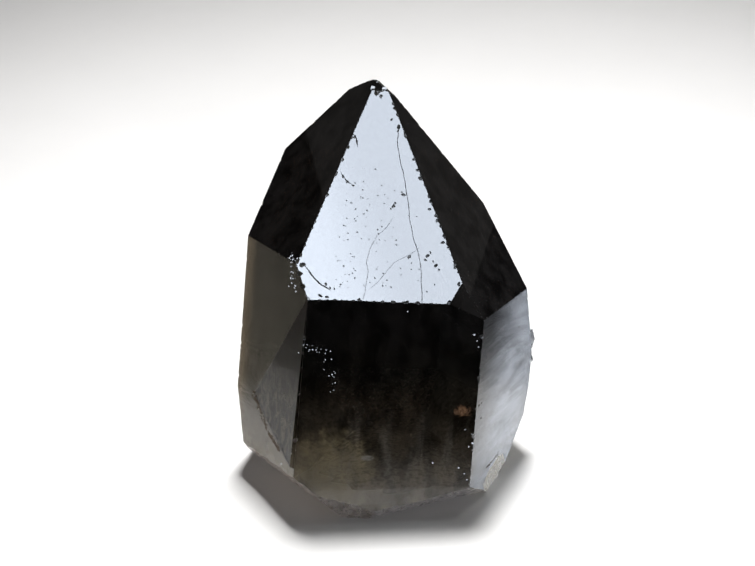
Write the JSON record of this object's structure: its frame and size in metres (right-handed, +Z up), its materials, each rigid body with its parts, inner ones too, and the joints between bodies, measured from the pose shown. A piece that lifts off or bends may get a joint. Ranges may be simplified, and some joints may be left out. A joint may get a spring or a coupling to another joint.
{
  "type": "raw quartz crystal point",
  "caption": "Raw smoky quartz point: a faceted prism under a chipped pyramid tip, standing on its broken foot.",
  "frame": {"origin": "on the ground under the middle of the crystal's footprint box, at the height of its flat foot", "axes": "+Z up, towards the pointed tip; -Y towards the front pyramid face; +X to the right as seen from the front"},
  "size_m": [0.0286, 0.0304, 0.0359],
  "materials": {
    "smoky_quartz": "polished"
  },
  "bodies": {
    "root": {"crystal": "smoky_quartz"}
  },
  "joints": []
}
